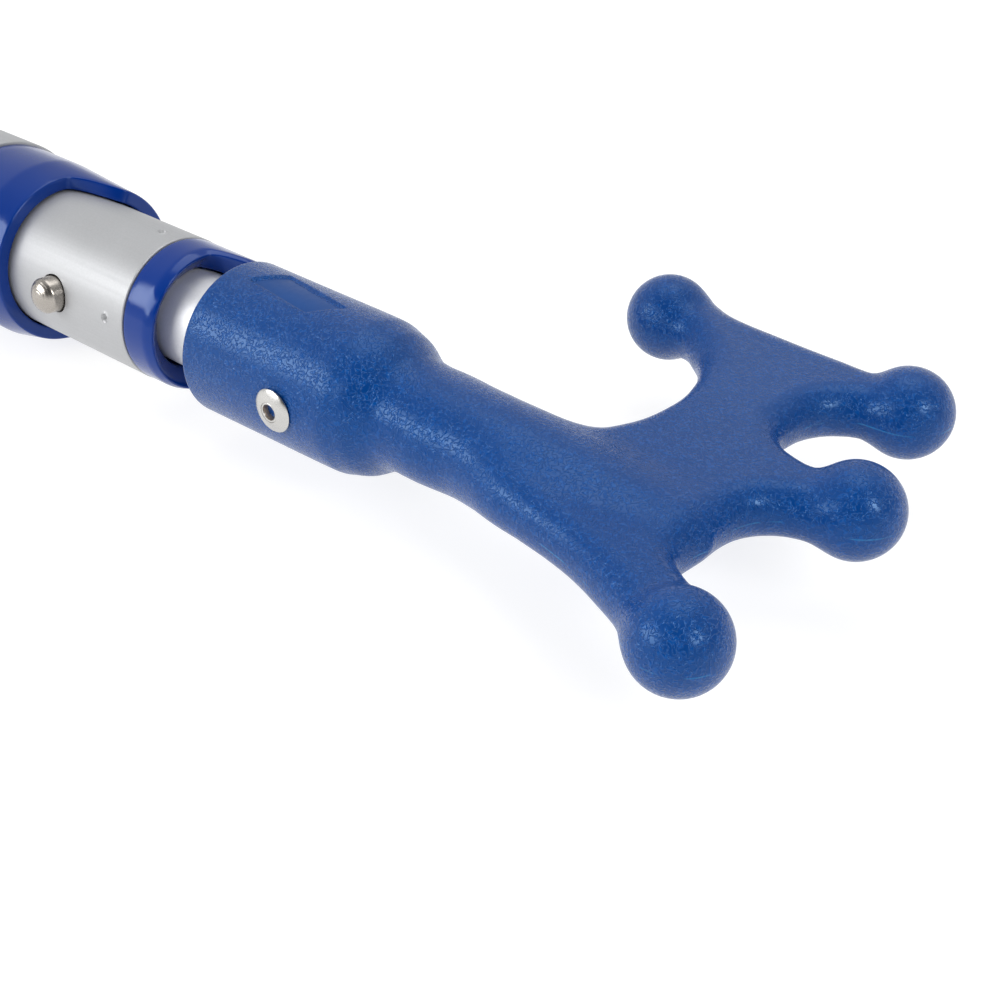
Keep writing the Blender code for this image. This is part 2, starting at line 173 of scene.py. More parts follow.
# ---------------------------------------------------------------- materials
class Graph:
    """A node tree, with short calls to add and join its nodes."""

    def __init__(self, tree):
        self.tree = tree

    def add(self, kind, **settings):
        node = self.tree.nodes.new(kind)
        for key, value in settings.items():
            setattr(node, key, value)
        return node

    def join(self, a, b):
        self.tree.links.new(a, b)

    def math(self, operation, a, b=None):
        node = self.add("ShaderNodeMath", operation=operation)
        for socket, value in zip(node.inputs, (a, b)):
            if value is None:
                continue
            if isinstance(value, (int, float)):
                socket.default_value = value
            else:
                self.join(value, socket)
        return node.outputs[0]

    def remap(self, value, low, high, to_low=0.0, to_high=1.0, smooth=False):
        node = self.add("ShaderNodeMapRange", clamp=True)
        if smooth:
            node.interpolation_type = "SMOOTHSTEP"
        self.join(value, node.inputs["Value"])
        for key, number in (("From Min", low), ("From Max", high), ("To Min", to_low), ("To Max", to_high)):
            node.inputs[key].default_value = number
        return node.outputs["Result"]


class Nodes(Graph):
    """A material whose textures follow its object."""

    def __init__(self, name, base, rough, metallic=0.0, **inputs):
        self.mat = bpy.data.materials.new(name)
        self.mat.use_nodes = True
        super().__init__(self.mat.node_tree)
        self.bsdf = self.tree.nodes["Principled BSDF"]
        self.bsdf.inputs["Base Color"].default_value = (*base, 1)
        self.bsdf.inputs["Roughness"].default_value = rough
        self.bsdf.inputs["Metallic"].default_value = metallic
        for key, value in inputs.items():
            self.bsdf.inputs[key.replace("_", " ")].default_value = value
        self.coords = self.add("ShaderNodeTexCoord").outputs["Object"]

    def scaled(self, factor):
        """The object's coordinates times one factor, or one for each axis."""
        node = self.add("ShaderNodeMapping")
        node.inputs["Scale"].default_value = factor if hasattr(factor, "__len__") else (factor,) * 3
        self.join(self.coords, node.inputs["Vector"])
        return node.outputs["Vector"]

    def noise(self, scale, detail=2.0, rough=0.5, vector=None):
        node = self.add("ShaderNodeTexNoise")
        node.inputs["Scale"].default_value = 1.0
        node.inputs["Detail"].default_value = detail
        node.inputs["Roughness"].default_value = rough
        self.join(vector if vector is not None else self.scaled(scale), node.inputs["Vector"])
        return node.outputs["Fac"]

    def voronoi(self, scale, feature):
        node = self.add("ShaderNodeTexVoronoi", feature=feature)
        node.inputs["Scale"].default_value = 1.0
        self.join(self.scaled(scale), node.inputs["Vector"])
        return node.outputs["Distance"]

    def blend(self, a, a_share, b, b_share):
        """The sum of two values, each times its share."""
        return self.math("ADD", self.math("MULTIPLY", a, a_share), self.math("MULTIPLY", b, b_share))

    def mix(self, factor, a, b):
        node = self.add("ShaderNodeMix", data_type="RGBA")
        self.join(factor, node.inputs["Factor"])
        colour_inputs = [s for s in node.inputs if s.type == "RGBA"]
        for socket, value in zip(colour_inputs, (a, b)):
            if isinstance(value, tuple):
                socket.default_value = (*value, 1)
            else:
                self.join(value, socket)
        return [s for s in node.outputs if s.type == "RGBA"][0]

    def colour(self, output):
        self.join(output, self.bsdf.inputs["Base Color"])

    def roughness(self, output):
        self.join(output, self.bsdf.inputs["Roughness"])

    def bump(self, height, strength, distance, into=None):
        """Bumps distance (metres) deep, on top of those that an earlier call gave back."""
        node = self.add("ShaderNodeBump")
        node.inputs["Strength"].default_value = strength
        node.inputs["Distance"].default_value = distance
        self.join(height, node.inputs["Height"])
        if into is not None:
            self.join(into, node.inputs["Normal"])
        self.join(node.outputs["Normal"], self.bsdf.inputs["Normal"])
        return node.outputs["Normal"]

    def axis(self, which):
        node = self.add("ShaderNodeSeparateXYZ")
        self.join(self.coords, node.inputs[0])
        return node.outputs[which]


def shade(colour, factor):
    return tuple(min(c * factor, 1.0) for c in colour)


BLUE, BLUE_TINT = (0.0065, 0.062, 0.30), (0.4, 0.68, 1.0, 1)
LINE_FAINT, LINE_FULL = FERRULE_X + 70, FERRULE_X + 88      # the parting line fades in between these x


def grained_blue():
    """Moulded plastic with a fine worm-like grain and a parting line in the head's own plane."""
    m = Nodes("moulded_blue_grain", BLUE, 0.40, Specular_IOR_Level=0.55, Specular_Tint=BLUE_TINT)
    base = m.scaled(1450)
    wobble = m.add("ShaderNodeTexNoise")
    wobble.inputs["Scale"].default_value = 1.1
    wobble.inputs["Detail"].default_value = 0.0
    m.join(base, wobble.inputs["Vector"])
    push = m.add("ShaderNodeVectorMath", operation="SCALE")
    push.inputs["Scale"].default_value = 0.8
    m.join(wobble.outputs["Color"], push.inputs[0])
    warp = m.add("ShaderNodeVectorMath", operation="ADD")
    m.join(base, warp.inputs[0])
    m.join(push.outputs[0], warp.inputs[1])
    worms = m.noise(1, detail=0.6, rough=0.4, vector=warp.outputs[0])
    ridge = m.math("ABSOLUTE", m.math("SUBTRACT", worms, 0.5))
    grain = m.remap(ridge, 0.0, 0.115, 1.0, 0.0, smooth=True)
    broad = m.noise(45, detail=2)
    z = m.math("ABSOLUTE", m.axis("Z"))
    line = m.remap(z, 0.00005, 0.00018, 1.0, 0.0, smooth=True)
    line = m.math("MULTIPLY", line, m.remap(m.noise(160, detail=3), 0.47, 0.6, 0.0, 1.0))
    line = m.math("MULTIPLY", line, m.remap(m.axis("X"), LINE_FAINT * MM, LINE_FULL * MM, 0.12, 1.0))
    valley = m.mix(m.remap(broad, 0.35, 0.65), (0.0, 0.038, 0.195), (0.0, 0.043, 0.212))
    grained = m.mix(grain, valley, (0.0, 0.056, 0.262))
    m.colour(m.mix(m.math("MULTIPLY", line, 0.55), grained, (0.02, 0.24, 0.55)))
    m.roughness(m.remap(grain, 0, 1, 0.26, 0.13))
    first = m.bump(m.blend(grain, 1.0, m.noise(3600, detail=1), 0.05), 1.0, 0.0001)
    m.bump(line, 0.4, 0.0001, into=first)
    return m.mat


def panel_blue():
    """The blank panel's floor: the same plastic without the grain."""
    m = Nodes("moulded_blue_panel", BLUE, 0.34, Specular_IOR_Level=0.4, Specular_Tint=BLUE_TINT)
    cloud = m.remap(m.noise(90, detail=3), 0.35, 0.65)
    m.colour(m.mix(cloud, (0.0, 0.04, 0.19), (0.0006, 0.048, 0.22)))
    m.roughness(m.remap(m.noise(700, detail=3), 0.3, 0.7, 0.30, 0.42))
    m.bump(m.noise(900, detail=3), 0.6, 0.00003)
    return m.mat


def glossy_blue():
    """Injection-moulded collar plastic: deep, glossy, with faint swirls and a few fine scratches."""
    m = Nodes("glossy_blue_collar", (0.0045, 0.042, 0.29), 0.14, Specular_IOR_Level=0.45,
              Specular_Tint=(0.6, 0.75, 1.0, 1))
    cloud = m.noise(35, detail=3)
    m.colour(m.mix(m.remap(cloud, 0.35, 0.7), (0.0001, 0.023, 0.185), (0.0003, 0.029, 0.215)))
    streak = m.noise((60, 900, 900), detail=2)
    m.roughness(m.remap(m.blend(m.noise(500, detail=3), 1.0, streak, 0.3), 0.4, 0.95, 0.10, 0.2))
    m.bump(m.blend(m.noise(140, detail=1), 1.0, m.noise(1600, detail=2), 0.12), 0.25, 0.00012)
    return m.mat


def satin_aluminium(name="satin_aluminium", base=(0.455, 0.46, 0.47), rough=0.5):
    """Anodised tube: broad soft gloss, lengthwise drawing marks and a very fine speckle."""
    m = Nodes(name, base, rough, metallic=0.6, Specular_IOR_Level=0.5)
    drawn = m.noise((14, 2400, 2400), detail=2)
    speck = m.noise(2600, detail=2)
    cloud = m.noise(28, detail=3)
    mottle = m.remap(m.blend(cloud, 0.6, speck, 0.4), 0.35, 0.65)
    m.colour(m.mix(mottle, shade(base, 0.94), shade(base, 1.05)))
    m.roughness(m.remap(m.blend(drawn, 0.6, cloud, 0.4), 0.35, 0.65, rough - 0.05, rough + 0.07))
    m.bump(m.blend(drawn, 0.6, speck, 1.0), 0.25, 0.00003)
    return m.mat


def bright_metal(name, base, rough):
    """Rivets and buttons: bright metal with fine turned rings or tumbled marks."""
    m = Nodes(name, base, rough, metallic=1.0)
    marks = m.noise(1400, detail=3)
    cloud = m.noise(180, detail=2)
    m.colour(m.mix(m.remap(cloud, 0.35, 0.65), shade(base, 0.9), base))
    m.roughness(m.remap(marks, 0.3, 0.7, rough * 0.9, rough * 1.2))
    m.bump(marks, 0.1, 0.00001)
    return m.mat


def matte_black():
    """Moulded black plastic with a fine pebbled surface."""
    base, rough = (0.022, 0.022, 0.025), 0.5
    m = Nodes("black_plastic", base, rough, Specular_IOR_Level=0.45)
    pebbles = m.voronoi(1500, "SMOOTH_F1")
    cloud = m.remap(m.noise(60, detail=3), 0.35, 0.65)
    m.colour(m.mix(cloud, shade(base, 0.8), shade(base, 1.3)))
    m.roughness(m.remap(pebbles, 0.1, 0.7, rough - 0.06, rough + 0.1))
    m.bump(pebbles, 0.5, 0.00006)
    return m.mat


def grip_foam():
    """Closed-cell foam: matte, with small pores and slight unevenness."""
    m = Nodes("grip_foam", (0.02, 0.02, 0.022), 0.86, Specular_IOR_Level=0.3, Sheen_Weight=0.12)
    pores = m.voronoi(1100, "F1")
    fine = m.noise(2400, detail=3)
    cloud = m.noise(45, detail=3)
    mottle = m.remap(m.blend(pores, 0.7, cloud, 0.5), 0.3, 0.9)
    m.colour(m.mix(mottle, (0.011, 0.011, 0.012), (0.034, 0.034, 0.036)))
    m.roughness(m.remap(fine, 0.3, 0.7, 0.78, 0.93))
    m.bump(m.blend(pores, 1.0, fine, 0.5), 0.7, 0.00022)
    return m.mat


def spring_steel():
    """Bright wire with drawing marks along it."""
    m = Nodes("spring_steel", (0.52, 0.52, 0.54), 0.3, metallic=1.0)
    m.roughness(m.remap(m.noise((200, 1500, 1500), detail=2), 0.3, 0.7, 0.22, 0.42))
    m.colour(m.mix(m.remap(m.noise(90, detail=3), 0.3, 0.7), (0.42, 0.42, 0.45), (0.58, 0.57, 0.56)))
    return m.mat


GRAIN, PANEL_BLUE, GLOSS = grained_blue(), panel_blue(), glossy_blue()
SATIN = satin_aluminium()
# Painted light: the inner tube gets a far brighter copy of the tube metal, to light it up where it lies in
# shade inside the small collar
SATIN_BRIGHTENED_FOR_SHADE = satin_aluminium("satin_aluminium_inner_painted_light", (0.84, 0.845, 0.855), 0.55)
RIVET = bright_metal("rivet_metal", (0.58, 0.57, 0.55), 0.27)
MANDREL = bright_metal("mandrel_metal", (0.62, 0.52, 0.41), 0.42)
STEEL = bright_metal("turned_steel", (0.42, 0.39, 0.355), 0.26)
BLACK, FOAM, SPRING = matte_black(), grip_foam(), spring_steel()


def dress(obj, material, body, slot, *replaced):
    """Gives a piece its material, the body it rides on and the CAD nodes that it stands for; slot is not
    used.
    """
    obj.data.materials.clear()
    obj.data.materials.append(material)
    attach(obj, body)
    if replaced:
        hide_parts(*replaced)
    return obj


# ---------------------------------------------------------------- the hook head
BALL_R, PALM_HALF, TIP_R = 8.2, 5.25, 1.2
BALLS = {"near": (114.1, -21.5), "front_near": (116.6, 24.1), "front_far": (108.2, 56.8), "far": (56.1, 59.1)}
NECK = [(0, 14.8), (15, 14.67), (33.4, 14.5), (34.6, 14.38), (36.0, 13.98), (38.5, 13.25), (41.0, 11.8),
        (43.5, 10.3), (47.0, 9.4), (56.0, 8.95), (66.0, 8.4), (76.0, 7.2), (86.0, 5.4), (96.0, 3.1),
        (106, -3.0)]
NECK_BLEND, BALL_BLEND = 7.0, 1.6
FRONT_FROM, REAR_TO = 28.0, 29.6            # the carved front starts and the turned rear ends; they overlap
CARVED_LOW, CARVED_HIGH, CARVED_STEP = (16.8, -32, -17), (127, 70, 17), 0.8
HANDLE_DIVISOR = 2.5614                     # a handle is the way to the next point over this


def palm_outline():
    """Control points of the palm's flat core, in mm from the socket's rear rim."""
    def tip(which, heading):
        run = np.array((math.cos(math.radians(heading)), math.sin(math.radians(heading))))
        side, centre = np.array((-run[1], run[0])) * TIP_R, np.array(BALLS[which])
        return [centre - side, centre + run * TIP_R, centre + side]

    points = [(48, -2.6), (60, -3.5), (66, -5.6), (72, -8.1), (79, -9.4), (86, -10.7), (93, -12.6),
              (100, -15.4), (105, -17.7)]
    points += tip("near", -34)
    points += [(105.4, -15.3), (100.2, -11.0), (98.7, -4), (99.3, 5), (101.2, 12.2), (106, 17.7)]
    points += tip("front_near", 28)
    points += [(109.5, 21.8), (102.6, 22.4), (96.4, 25.6), (92.2, 31.5), (91.7, 37.8), (94.0, 46.2),
               (99.6, 51.9)]
    points += tip("front_far", 25)
    points += [(101.8, 55.2), (93, 55.1), (81, 55.6), (69, 56.7)]
    points += tip("far", 173)
    points += [(66, 56.2), (71, 53.0), (77.5, 46.5), (82, 35.8), (82.6, 24.5), (79.6, 14), (73.5, 6.6),
               (65.5, 4.1), (56, 3.6), (48, 3.6)]
    return np.array([tuple(p) for p in points], float)


def smooth_loop(points, steps=6):
    """A closed curve through the points, with handles about 0.39 of the way to each neighbour."""
    before, after = np.roll(points, 1, 0), np.roll(points, -1, 0)
    a, b = points - before, after - points
    la, lb = np.linalg.norm(a, axis=1), np.linalg.norm(b, axis=1)
    tangent = b / lb[:, None] + a / la[:, None]
    length = np.linalg.norm(tangent, axis=1) * HANDLE_DIVISOR
    back, ahead = points - tangent * (la / length)[:, None], points + tangent * (lb / length)[:, None]
    t = (np.arange(steps) / steps)[:, None, None]
    curve = ((1 - t) ** 3 * points + 3 * (1 - t) ** 2 * t * ahead
             + 3 * (1 - t) * t * t * np.roll(back, -1, 0) + t ** 3 * after)
    return curve.transpose(1, 0, 2).reshape(-1, 2)


def polygon_distance(points, polygon):
    """Signed distance to a polygon, negative inside."""
    nearest, inside = np.full(len(points), 1e9), np.zeros(len(points), bool)
    for a, b in zip(polygon, np.roll(polygon, -1, 0)):
        edge, w = b - a, points - a
        t = np.clip((w @ edge) / (edge @ edge), 0, 1)
        gap = w - t[:, None] * edge
        nearest = np.minimum(nearest, (gap * gap).sum(1))
        crosses = (a[1] <= points[:, 1]) != (b[1] <= points[:, 1])
        at = a[0] + (points[:, 1] - a[1]) / (edge[1] if edge[1] else 1e-12) * edge[0]
        inside ^= crosses & (points[:, 0] < at)
    return np.sqrt(nearest) * np.where(inside, -1, 1)


def monotone_curve(xs, points):
    """A smooth curve through (x, r) points that doesn't overshoot."""
    P = np.array(points, float)
    x, y = P[:, 0], P[:, 1]
    h = np.diff(x)
    d = np.diff(y) / h
    m = np.zeros(len(x))
    m[0], m[-1] = d[0], d[-1]
    for i in range(1, len(x) - 1):
        if d[i - 1] * d[i] > 0:
            w1, w2 = 2 * h[i] + h[i - 1], h[i] + 2 * h[i - 1]
            m[i] = (w1 + w2) / (w1 / d[i - 1] + w2 / d[i])
    i = np.clip(np.searchsorted(x, xs) - 1, 0, len(h) - 1)
    t = np.clip((xs - x[i]) / h[i], 0, 1)
    return ((2 * t**3 - 3 * t**2 + 1) * y[i] + (t**3 - 2 * t**2 + t) * h[i] * m[i]
            + (3 * t**2 - 2 * t**3) * y[i + 1] + (t**3 - t**2) * h[i] * m[i + 1])


def smooth_min(a, b, width):
    h = np.maximum(width - abs(a - b), 0) / width
    return np.minimum(a, b) - h * h * width / 4


class HeadField:
    """Distance to the head's surface: a rounded plate, a turned neck and four balls, blended together."""
    CELL, LOW, HIGH = 0.3, (10.0, -34.0), (130.3, 72.3)

    def __init__(self):
        xs, ys = (np.arange(a, b, self.CELL) for a, b in zip(self.LOW, self.HIGH))
        grid = np.stack(np.meshgrid(xs, ys, indexing="ij"), -1).reshape(-1, 2)
        self.plan = polygon_distance(grid, smooth_loop(palm_outline())).reshape(len(xs), len(ys))
        self.x = np.linspace(-5, 130, 1351)
        window = np.hanning(11)[1:-1]
        radius = np.pad(monotone_curve(self.x, NECK), len(window) // 2, mode="edge")
        self.r = np.convolve(radius, window / window.sum(), "valid")
        self.slope = np.gradient(self.r, self.x)

    def plan_distance(self, p):
        a = np.clip((p[:, 0] - self.LOW[0]) / self.CELL, 0, self.plan.shape[0] - 1.001)
        b = np.clip((p[:, 1] - self.LOW[1]) / self.CELL, 0, self.plan.shape[1] - 1.001)
        i, j = a.astype(int), b.astype(int)
        u, w = a - i, b - j
        return (self.plan[i, j] * (1 - u) * (1 - w) + self.plan[i + 1, j] * u * (1 - w)
                + self.plan[i, j + 1] * (1 - u) * w + self.plan[i + 1, j + 1] * u * w)

    def __call__(self, p):
        plate = np.hypot(np.maximum(self.plan_distance(p), 0), p[:, 2]) - PALM_HALF
        r, slope = np.interp(p[:, 0], self.x, self.r), np.interp(p[:, 0], self.x, self.slope)
        neck = (np.hypot(p[:, 1], p[:, 2]) - r) / np.sqrt(1 + slope * slope)
        d = smooth_min(plate, neck, NECK_BLEND)
        for cx, cy in BALLS.values():
            ball = np.sqrt((p[:, 0] - cx) ** 2 + (p[:, 1] - cy) ** 2 + p[:, 2] ** 2) - BALL_R
            d = smooth_min(d, ball, BALL_BLEND)
        return d


def surface_net(field, low, high, step):
    """Quads that follow the zero surface of a field sampled on a grid."""
    axes = [np.arange(a, b + step, step) for a, b in zip(low, high)]
    n = [len(a) for a in axes]
    v = field(np.stack(np.meshgrid(*axes, indexing="ij"), -1).reshape(-1, 3)).reshape(n)
    total, count, edges = np.zeros([m - 1 for m in n] + [3]), np.zeros([m - 1 for m in n]), []
    for ax in range(3):
        a, b = np.take(v, range(n[ax] - 1), ax), np.take(v, range(1, n[ax]), ax)
        idx = np.argwhere((a < 0) != (b < 0))
        va, vb = a[tuple(idx.T)], b[tuple(idx.T)]
        at = idx.astype(float)
        at[:, ax] += va / (va - vb)
        u, w = (ax + 1) % 3, (ax + 2) % 3
        for du, dw in ((0, 0), (0, -1), (-1, 0), (-1, -1)):
            c = idx.copy()
            c[:, u] += du
            c[:, w] += dw
            ok = (c[:, u] >= 0) & (c[:, w] >= 0) & (c[:, u] < n[u] - 1) & (c[:, w] < n[w] - 1)
            np.add.at(total, tuple(c[ok].T), at[ok])
            np.add.at(count, tuple(c[ok].T), 1)
        edges.append((u, w, idx, va < 0))
    used = count > 0
    ids = np.full(count.shape, -1)
    ids[used] = np.arange(used.sum())
    quads = []
    for u, w, idx, starts_inside in edges:
        ok = (idx[:, u] > 0) & (idx[:, w] > 0) & (idx[:, u] < n[u] - 1) & (idx[:, w] < n[w] - 1)
        idx, starts_inside, corners = idx[ok], starts_inside[ok], []
        for du, dw in ((0, 0), (-1, 0), (-1, -1), (0, -1)):
            c = idx.copy()
            c[:, u] += du
            c[:, w] += dw
            corners.append(ids[tuple(c.T)])
        corners = np.stack(corners, 1)
        corners[~starts_inside] = corners[~starts_inside][:, ::-1]
        quads.append(corners)
    return total[used] / count[used][:, None] * step + np.array(low), np.concatenate(quads)


def onto_surface(field, v, rounds=2, h=0.02):
    """Moves vertices onto a field's zero surface, along its slope."""
    for _ in range(rounds):
        d = field(v)
        slope = np.stack([(field(v + h * e) - field(v - h * e)) / (2 * h) for e in np.eye(3)], 1)
        v = v - slope * (d / np.maximum((slope * slope).sum(1), 1e-9))[:, None]
    return v


# Blank recessed panel on the socket, with four sides: corners as x from the rim (mm) and angle (degrees)
PANEL_CORNERS = [(5.9, 98.6), (9.9, 72.5), (26.9, 84.5), (21.9, 105.4)]
PANEL_DEPTH, PANEL_EDGE = 0.45, 0.3
OUTSIDE_R = 14.0                            # only the socket's outside has the panel, never its bore


def inside_panel(x, r, a):
    """How far (mm) a place on the socket is inside the blank panel's four sides."""
    s, inside = a * r, np.full(np.shape(x), 1e9)
    corners = [(cx, math.radians(ca) * SOCKET_R) for cx, ca in PANEL_CORNERS]
    for (x0, s0), (x1, s1) in zip(corners, corners[1:] + corners[:1]):
        length = math.hypot(x1 - x0, s1 - s0)
        inside = np.minimum(inside, ((x1 - x0) * (s - s0) - (s1 - s0) * (x - x0)) / length)
    return inside


def panel_sink(x, r, a):
    sink = PANEL_DEPTH * smooth_step(inside_panel(x, r, a) / PANEL_EDGE + 0.5)
    return np.where(r > OUTSIDE_R, -sink, 0.0)


def build_head():
    """The head's mesh, and which of its faces are the blank panel's floor."""
    field = HeadField()
    verts, quads = surface_net(field, CARVED_LOW, CARVED_HIGH, CARVED_STEP)
    verts = onto_surface(field, verts)
    keep = (verts[quads][:, :, 0] >= FRONT_FROM).all(1)
    used = np.unique(quads[keep])
    remap = np.full(len(verts), -1)
    remap[used] = np.arange(len(used))
    front_v, front_f = verts[used], remap[quads[keep]]
    # The rear runs from just inside the bore, round the rim, to a little past the first front faces
    rim = [(6.0, 9.95), (0.5, 9.95)] + arc((0.5, 10.45), 0.5, 270, 180, 4) + arc((0.9, 13.9), 0.9, 180, 95, 8)
    rim += [(x, float(np.interp(x, field.x, field.r))) for x in np.arange(1.6, REAR_TO, 0.3)]
    rear_v, rear_f = lathe_grid(rim, 360, panel_sink)
    verts = np.concatenate([front_v, rear_v])
    faces = np.concatenate([front_f, rear_f + len(front_v)])
    centre = verts[faces].mean(1)
    angle = np.mod(np.arctan2(centre[:, 2], centre[:, 1]), 2 * math.pi)
    reach = np.hypot(centre[:, 1], centre[:, 2])
    plain = (reach > OUTSIDE_R - PANEL_DEPTH) & (inside_panel(centre[:, 0], reach, angle) > PANEL_EDGE / 2)
    verts[:, 0] += FERRULE_X
    return new_object("hook_head_moulding", verts, faces), plain


head, panel_faces = build_head()
dress(head, GRAIN, "inner", "moulded_blue", "hook_head")
head.data.materials.append(PANEL_BLUE)
head.data.polygons.foreach_set("material_index", panel_faces.astype(np.int32))


# ---------------------------------------------------------------- tubes
def tube_profile(x0, x1, radius, wall, edge=0.25, step=20.0):
    """Closed loop of a tube with small rounded edges."""
    inner = radius - wall
    outer_x = np.append(np.arange(x0 + edge, x1 - edge, step), x1 - edge)
    loop = [(x, radius) for x in outer_x]
    loop += arc((x1 - edge, radius - edge), edge, 90, 0, 3)[1:]
    loop += arc((x1 - edge, inner + edge), edge, 0, -90, 3)
    loop += [(x, inner) for x in outer_x[::-1][1:]]
    loop += arc((x0 + edge, inner + edge), edge, 270, 180, 3)[1:]
    loop += arc((x0 + edge, radius - edge), edge, 180, 90, 3)[:-1]
    return loop


def dimples(places, depth, size):
    """Shallow round press marks at (x, angle) places on a tube's outside."""
    def shape(x, r, a):
        out = np.zeros_like(r)
        for px, pa in places:
            turn = np.abs((a - pa + math.pi) % (2 * math.pi) - math.pi)
            dist = np.hypot(x - px, turn * r) / size
            out -= depth * np.exp(-dist ** 4) - depth * 0.25 * np.exp(-((dist - 1.45) / 0.35) ** 2)
        return out
    return shape


def fine_tube_profile(x0, x1, radius, wall, fine_from, fine_to, edge=0.25):
    """Like tube_profile, with closely spaced rings between fine_from and fine_to."""
    xs = np.concatenate([np.arange(x0 + edge, fine_from, 12.0), np.arange(fine_from, fine_to, 0.3),
                         np.arange(fine_to, x1 - edge, 2.0), [x1 - edge]])
    loop = [(x, radius) for x in xs]
    loop += arc((x1 - edge, radius - edge), edge, 90, 0, 3)[1:]
    loop += [(x1, radius - wall), (x0, radius - wall), (x0, radius - edge)]
    return loop


CRIMP_X, CRIMP_REACH = FERRULE_X - 22.0, 2.4
CRIMP_DEPTH, CRIMP_SIZE = 0.75, 0.62
crimps = [(CRIMP_X, math.radians(a)) for a in (84.1, 171.6, 264.1, 351.6)]
mid_shape = dimples(crimps, CRIMP_DEPTH, CRIMP_SIZE)


def mid_relief(x, r, a):
    """The crimps, on the middle tube's outside only."""
    return np.where(r > MID_R - 0.2, mid_shape(x, r, a), 0.0)


mid_loop = fine_tube_profile(start_x("mid_tube"), MID_END, MID_R, MID_WALL, CRIMP_X - CRIMP_REACH,
                             CRIMP_X + CRIMP_REACH)
mid_tube = closed_lathe("mid_tube_drawn", mid_loop, 320, mid_relief)
inner_loop = tube_profile(start_x("inner_tube"), end_x("inner_tube"), INNER_R, INNER_WALL)
inner_tube = closed_lathe("inner_tube_drawn", inner_loop, 160)
outer_loop = tube_profile(start_x("outer_tube"), OUTER_END, OUTER_R, OUTER_WALL)
outer_tube = closed_lathe("outer_tube_drawn", outer_loop, 240)


def cut_holes(obj, places):
    """Cuts round holes of (x, angle, radius, surface radius) through a tube's wall."""
    for n, (x, angle, radius, surface) in enumerate(places):
        cutter = solid_lathe(f"cut_{n}", [(-3, 0), (-3, radius), (3, radius), (3, 0)], 64)
        stand_radially(cutter, x, angle, surface)
        mod = obj.modifiers.new("hole", "BOOLEAN")
        mod.operation, mod.object, mod.solver = "DIFFERENCE", cutter, "EXACT"
        bpy.context.view_layer.objects.active = obj
        with bpy.context.temp_override(object=obj, active_object=obj):
            bpy.ops.object.modifier_apply(modifier=mod.name)
        bpy.data.objects.remove(cutter)


TRAVEL = 710.0
cut_holes(mid_tube, [(FRONT_LOCK_X, LOCK_ANGLE, BUTTON_HOLE_R, MID_R),
                     (REAR_LOCK_X, LOCK_ANGLE, FOOT_HOLE_R, MID_R),
                     (REAR_LOCK_X - TRAVEL, LOCK_ANGLE, FOOT_HOLE_R, MID_R)])
cut_holes(inner_tube, [(FRONT_LOCK_X, LOCK_ANGLE, FOOT_HOLE_R, INNER_R),
                       (FRONT_LOCK_X - TRAVEL, LOCK_ANGLE, FOOT_HOLE_R, INNER_R)])
cut_holes(outer_tube, [(REAR_LOCK_X, LOCK_ANGLE, BUTTON_HOLE_R, OUTER_R)])
for piece in (mid_tube, inner_tube, outer_tube):
    soften(piece)
dress(mid_tube, SATIN, "mid", "satin_aluminium", "mid_tube")
dress(inner_tube, SATIN_BRIGHTENED_FOR_SHADE, "inner", "satin_aluminium", "inner_tube")
dress(outer_tube, SATIN, "outer", "satin_aluminium", "outer_tube")


# ---------------------------------------------------------------- collars
def rounded_loop(corners, steps=5):
    """A closed profile with its corners (x, r, fillet) rounded."""
    out, n = [], len(corners)
    for i, (x, r, fillet) in enumerate(corners):
        p = np.array((x, r))
        a, b = np.array(corners[i - 1][:2]) - p, np.array(corners[(i + 1) % n][:2]) - p
        la, lb = np.linalg.norm(a), np.linalg.norm(b)
        if fillet <= 0:
            out.append(tuple(p))
            continue
        cut = min(fillet, la * 0.48, lb * 0.48)
        s, e = p + a / la * cut, p + b / lb * cut
        for t in np.linspace(0, 1, steps + 1):
            out.append(tuple((1 - t) ** 2 * s + 2 * (1 - t) * t * p + t * t * e))
    return out


TONGUE_MIDDLE, TONGUE_HALF = LOCK_ANGLE + math.pi, math.radians(78)   # the tongue is opposite the buttons
SWEEP_FROM, SWEEP_LENGTH = -16, 36          # degrees past the tongue's half, over which it sweeps back


def collar_angles():
    """Columns round a collar, closer together where the tongue begins and ends."""
    coarse = np.radians(np.arange(0, 360, 1.5))
    past = np.radians(np.arange(-12, 20, 0.3))
    fine = [TONGUE_MIDDLE + side * (TONGUE_HALF + p) for side in (-1, 1) for p in past]
    angles = np.unique(np.round(np.mod(np.concatenate([coarse, fine]), 2 * math.pi), 6))
    keep = np.append(np.diff(angles) > 0.002, True)
    return angles[keep]


def tongue_share(angle):
    """1 on the tongue, 0 on the cut-back front, with a smooth sweep between them."""
    away = np.abs((angle - TONGUE_MIDDLE + math.pi) % (2 * math.pi) - math.pi)
    t = np.degrees(away - TONGUE_HALF)
    return 1 - smooth_step(smooth_step((t - SWEEP_FROM) / SWEEP_LENGTH) ** 0.8)


def tongued_collar(name, near, far):
    """Turns a profile whose front changes from near (cut back) to far (on the tongue) round the pole."""
    near, far, angles = np.array(near), np.array(far), collar_angles()
    share = tongue_share(angles)
    P = near[:, None, :] * (1 - share)[:, None] + far[:, None, :] * share[:, None]
    n, m = len(near), len(angles)
    verts = np.stack([P[..., 0], P[..., 1] * np.cos(angles), P[..., 1] * np.sin(angles)], -1).reshape(-1, 3)
    i, j = np.meshgrid(np.arange(n), np.arange(m), indexing="ij")
    i2, j2 = (i + 1) % n, (j + 1) % m
    faces = np.stack([i * m + j, i * m + j2, i2 * m + j2, i2 * m + j], -1).reshape(-1, 4)
    return new_object(name, verts, faces, sharp_angle=60)


def rings_between(a, b, count):
    """Extra (x, r, 0) corners between two, so that a long side has rings to bend with."""
    shares = np.linspace(0, 1, count + 2)[1:-1]
    return [(a[0] + (b[0] - a[0]) * t, a[1] + (b[1] - a[1]) * t, 0.0) for t in shares]


